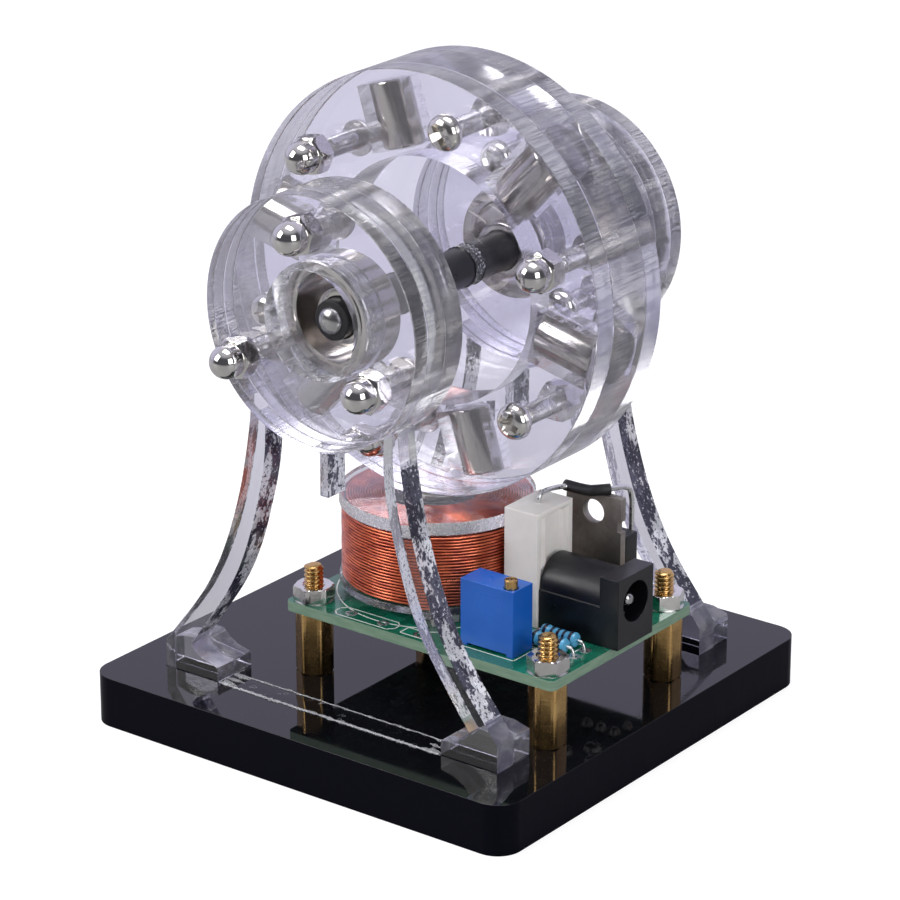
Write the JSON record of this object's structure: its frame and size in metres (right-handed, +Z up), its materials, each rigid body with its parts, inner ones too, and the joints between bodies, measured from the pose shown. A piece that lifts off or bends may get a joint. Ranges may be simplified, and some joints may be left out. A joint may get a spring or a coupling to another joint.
{
  "type": "demonstration electric motor",
  "caption": "Demonstration motor whose clear disc rotor floats on ring magnets in two clear frames over one coil, with its drive circuit on a black base.",
  "frame": {"origin": "middle of the base's underside", "axes": "+Z up, +Y along the shaft from the open front bearing to the rear bearing, +X towards the power socket"},
  "size_m": [0.078, 0.079, 0.1015],
  "materials": {
    "black_acrylic": "polished, near mirror",
    "clear_acrylic": "clear, polished faces, cut edges satin",
    "thrust_pad": "polished",
    "plated_magnet": "nickel plated, bright",
    "screw_steel": "nickel plated",
    "acorn_nuts": "bright nickel",
    "shaft_black": "satin black",
    "tip_steel": "ground",
    "bobbin": "satin, translucent",
    "core_iron": "machined",
    "enamelled_wire": "glossy copper-red enamel",
    "green_board": "solder mask",
    "brass": "turned",
    "blue_housing": "moulded, satin",
    "black_housing": "moulded, satin",
    "tinned_metal": "tinned",
    "white_ceramic": "matt ceramic",
    "tab_metal": "tinned copper, dull",
    "blue_lacquer": "lacquer with dark bands"
  },
  "bodies": {
    "stator": {"base_plate": "black_acrylic", "front_frame": "clear_acrylic", "rear_frame": "clear_acrylic", "front_foot_bar": "clear_acrylic", "rear_foot_bar": "clear_acrylic", "front_cover": "clear_acrylic", "front_disc": "clear_acrylic", "rear_cover": "clear_acrylic", "rear_disc": "clear_acrylic", "thrust_plate": "clear_acrylic", "thrust_pad": "thrust_pad", "front_ring_magnet": "plated_magnet", "rear_ring_magnet": "plated_magnet", "front_bearing_screws": "screw_steel", "rear_bearing_screws": "screw_steel", "front_bearing_nuts": "acorn_nuts", "rear_bearing_nuts": "acorn_nuts", "coil_bobbin": "bobbin", "coil_top_flange": "clear_acrylic", "coil_core": "core_iron", "coil_winding": "enamelled_wire", "coil_outer_turns": "enamelled_wire", "circuit_board": "green_board", "standoffs": "brass", "standoff_nuts": "screw_steel", "base_screws": "screw_steel", "trimmer_body": "blue_housing", "trimmer_pins": "tinned_metal", "jack_body": "black_housing", "jack_pin": "tinned_metal", "jack_spring": "tinned_metal", "jack_tags": "tinned_metal", "ceramic_resistor": "white_ceramic", "ceramic_leads": "tinned_metal", "lead_sleeve": "black_housing", "transistor_tab": "tab_metal", "transistor_body": "black_housing", "transistor_leads": "tinned_metal", "film_resistors": "blue_lacquer", "film_leads": "tinned_metal", "solder_joints": "tinned_metal"},
    "rotor": {"shaft": "shaft_black", "shaft_tips": "tip_steel", "front_shaft_ring": "plated_magnet", "rear_shaft_ring": "plated_magnet", "rotor_front_plate": "clear_acrylic", "rotor_carrier": "clear_acrylic", "rotor_rear_plate": "clear_acrylic", "rotor_magnets": "plated_magnet", "rotor_screws": "screw_steel", "rotor_nuts": "acorn_nuts"},
    "adjuster": {"trimmer_screw": "brass"}
  },
  "joints": [
    {"name": "rotor_spin", "type": "hinge", "parent": "stator", "child": "rotor", "pos_m": [0, 0, 0.0693], "axis": [0, 1, 0], "continuous": true},
    {"name": "trimmer_turn", "type": "hinge", "parent": "stator", "child": "adjuster", "pos_m": [0.02325, -0.016, 0.03003], "axis": [0, 0, 1], "continuous": true}
  ]
}
